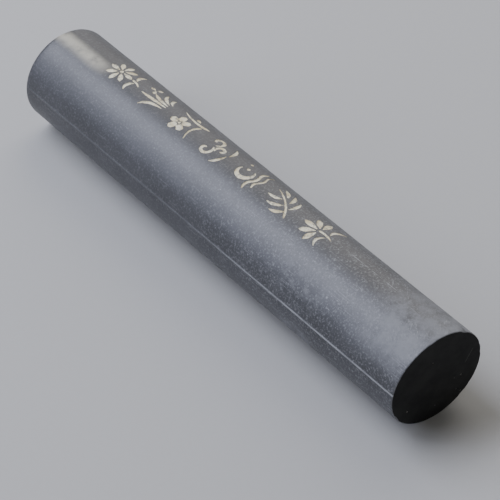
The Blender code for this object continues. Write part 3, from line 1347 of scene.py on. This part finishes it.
    def add_pinholes(self, mesh: BMesh) -> None:
        """Add the small balls that cut pinholes into the end faces.

        Args:
            mesh: The mesh that they are added to.
        """
        spots = [(Vector((x * MM, y, z * MM)), radius * MM)
                 for y, pinholes in ((self.near_y, self.near_pinholes), (self.far_y, self.far_pinholes))
                 for x, z, radius in pinholes]
        for spot, radius in spots:
            spot.y += self._lean_shift(spot)
            made = bmesh.ops.create_icosphere(mesh, subdivisions=2, radius=radius,
                                              matrix=Matrix.Translation(spot))
            for face in {face for vertex in made["verts"] for face in vertex.link_faces}:
                face.material_index = Slot.SCRAPED.value

    def build(self, engraving: Engraving, materials: list[Material]) -> SceneObject:
        """Turn, shape and cut the casting, and put it in place of the plain one.

        Args:
            engraving: The ornaments, whose recesses are cut.
            materials: The materials in the order of Slot.

        Returns:
            The casting.
        """
        mesh = self.turned()
        self.shape(mesh)
        mesh.normal_update()
        for face in mesh.faces:
            face.smooth = True
            flat_on = abs(face.normal.y) > 0.9
            face.material_index = Slot.END.value if flat_on else Slot.SIDE.value
        mesh.transform(self.lie.to_part())
        for vertex in mesh.verts:
            vertex.co.z = max(vertex.co.z, self.lie.low.z)
        rough_casting = new_object("casting_uncut", mesh, materials)
        cutter_mesh = bmesh.new()
        engraving.add_recesses(cutter_mesh)
        self.add_pinholes(cutter_mesh)
        cutter = new_object("recess_cutter", cutter_mesh, materials, self.lie.to_part())
        casting = self._cut(rough_casting, cutter)
        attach(casting, BODY)
        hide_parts(CASTING_NODE)
        return casting

    def _cut(self, target: SceneObject, cutter: SceneObject) -> SceneObject:
        """Cut one object out of another and keep the result as a plain mesh.

        Args:
            target: The object that is cut, which is removed.
            cutter: The object that cuts it, which is removed too.

        Returns:
            The casting.
        """
        boolean = target.modifiers.new("recesses", "BOOLEAN")
        boolean.operation = "DIFFERENCE"
        boolean.solver = "EXACT"
        boolean.material_mode = "INDEX"
        boolean.use_self = True
        boolean.object = cutter
        seen = bpy.context.evaluated_depsgraph_get()
        data = bpy.data.meshes.new_from_object(target.evaluated_get(seen))
        data.name = "ink_casting"
        for spent in (target, cutter):
            bpy.data.objects.remove(spent, do_unlink=True)
        data.set_sharp_from_angle(angle=self.smoothing_angle)
        casting = bpy.data.objects.new("ink_casting", data)
        bpy.context.scene.collection.objects.link(casting)
        return casting


# --- The studio ---

@dataclass(frozen=True)
class Softbox:
    """A soft rectangular light that faces the stick.

    Attributes:
        name: The light's name.
        place: Where it hangs, in metres.
        size: Its width and its height.
        power: Its power in watts.
        color: Its colour.
    """

    name: str
    place: tuple[float, float, float]
    size: Point
    power: float
    color: Color

    def hang(self) -> None:
        """Hang the light and point it at the stick."""
        data = bpy.data.lights.new(self.name, "AREA")
        data.shape = "RECTANGLE"
        data.size, data.size_y = self.size
        data.energy = self.power
        data.color = self.color
        light = bpy.data.objects.new(self.name, data)
        light.location = self.place
        light.rotation_euler = (-Vector(self.place)).to_track_quat("-Z", "Y").to_euler()
        bpy.context.scene.collection.objects.link(light)


@dataclass
class Studio:
    """A plain pale floor, soft lights and the camera."""

    camera_turn: float = math.radians(38.82)
    camera_down: float = math.radians(42.35)
    camera_distance: float = 381.3 * MM
    lens: float = 166.1
    sensor_width: float = 36.0
    nearest_seen: float = 0.01
    aim: tuple[float, float, float] = (-4.10 * MM, -8.20 * MM, 9.0 * MM)
    floor_size: float = 6.0
    floor_color: Color = (0.56, 0.555, 0.54)
    world_color: Color = (1.0, 0.99, 0.97)
    world_strength: float = 0.16
    lights: tuple[Softbox, ...] = (
        Softbox("key_softbox", (-0.20, 0.42, 0.62), (0.60, 0.45), 5.6, (0.80, 0.845, 1.0)),
        Softbox("left_softbox", (-0.75, 0.45, 0.45), (0.5, 0.5), 3.0, (0.76, 0.81, 1.0)),
        Softbox("right_softbox", (0.58, 0.40, 0.52), (0.7, 1.0), 3.6, (1.0, 0.97, 0.93)),
    )

    def build(self) -> None:
        """Build the floor, the lights, the world and the camera."""
        self._floor()
        self._world()
        for light in self.lights:
            light.hang()
        self._camera()

    def _floor(self) -> None:
        """Lay the floor at the bottom of the part."""
        mesh = bmesh.new()
        bmesh.ops.create_grid(mesh, x_segments=1, y_segments=1, size=self.floor_size / 2)
        material, graph, shader = new_material("pale_floor")
        grain = graph.noise(object_position(graph), 900.0, 3.0)
        tint = tuple(channel * 0.97 for channel in self.floor_color)
        graph.feed(shader.inputs["Base Color"], graph.mix(grain, tint, self.floor_color))
        shader.inputs["Roughness"].default_value = 0.8
        floor = new_object("floor", mesh, [material], Matrix.Translation((0, 0, CAD_BOX[0].z)))

    def _world(self) -> None:
        """Light the surroundings evenly."""
        world = bpy.data.worlds.new("soft_room")
        world.use_nodes = True
        sky = world.node_tree.nodes["Background"]
        sky.inputs["Color"].default_value = (*self.world_color, 1.0)
        sky.inputs["Strength"].default_value = self.world_strength
        bpy.context.scene.world = world

    def _camera(self) -> None:
        """Set the camera on the near left of the stick, looking down along it."""
        data = bpy.data.cameras.new("camera")
        data.lens = self.lens
        data.sensor_width = self.sensor_width
        data.clip_start = self.nearest_seen
        camera = bpy.data.objects.new("camera", data)
        looking = Vector((math.sin(self.camera_turn) * math.cos(self.camera_down),
                          math.cos(self.camera_turn) * math.cos(self.camera_down),
                          -math.sin(self.camera_down)))
        camera.location = Vector(self.aim) - looking * self.camera_distance
        camera.rotation_euler = looking.to_track_quat("-Z", "Y").to_euler()
        bpy.context.scene.collection.objects.link(camera)
        bpy.context.scene.camera = camera


def main() -> None:
    """Build the studio, the casting and the fills, and report each piece."""
    logging.basicConfig(level=logging.INFO)
    lie = Lie(*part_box(CASTING_NODE))
    effects = SharedEffects()
    Studio().build()
    LOG.info("studio built")
    gilt = Gilt().material(effects)
    recess = Gilt(name="gilt_residue", wear=0.75).material(effects)
    materials = [BurnishedInk(lie).material(effects), MatteInk().material(effects), recess,
                 ScrapedInk().material(effects)]
    engraving = Engraving(lie)
    casting = Casting(lie).build(engraving, materials)
    LOG.info("%s: %d faces", casting.name, len(casting.data.polygons))
    for fill in engraving.build_fills(gilt):
        LOG.info("%s: %d faces", fill.name, len(fill.data.polygons))


if __name__ == "__main__":
    main()
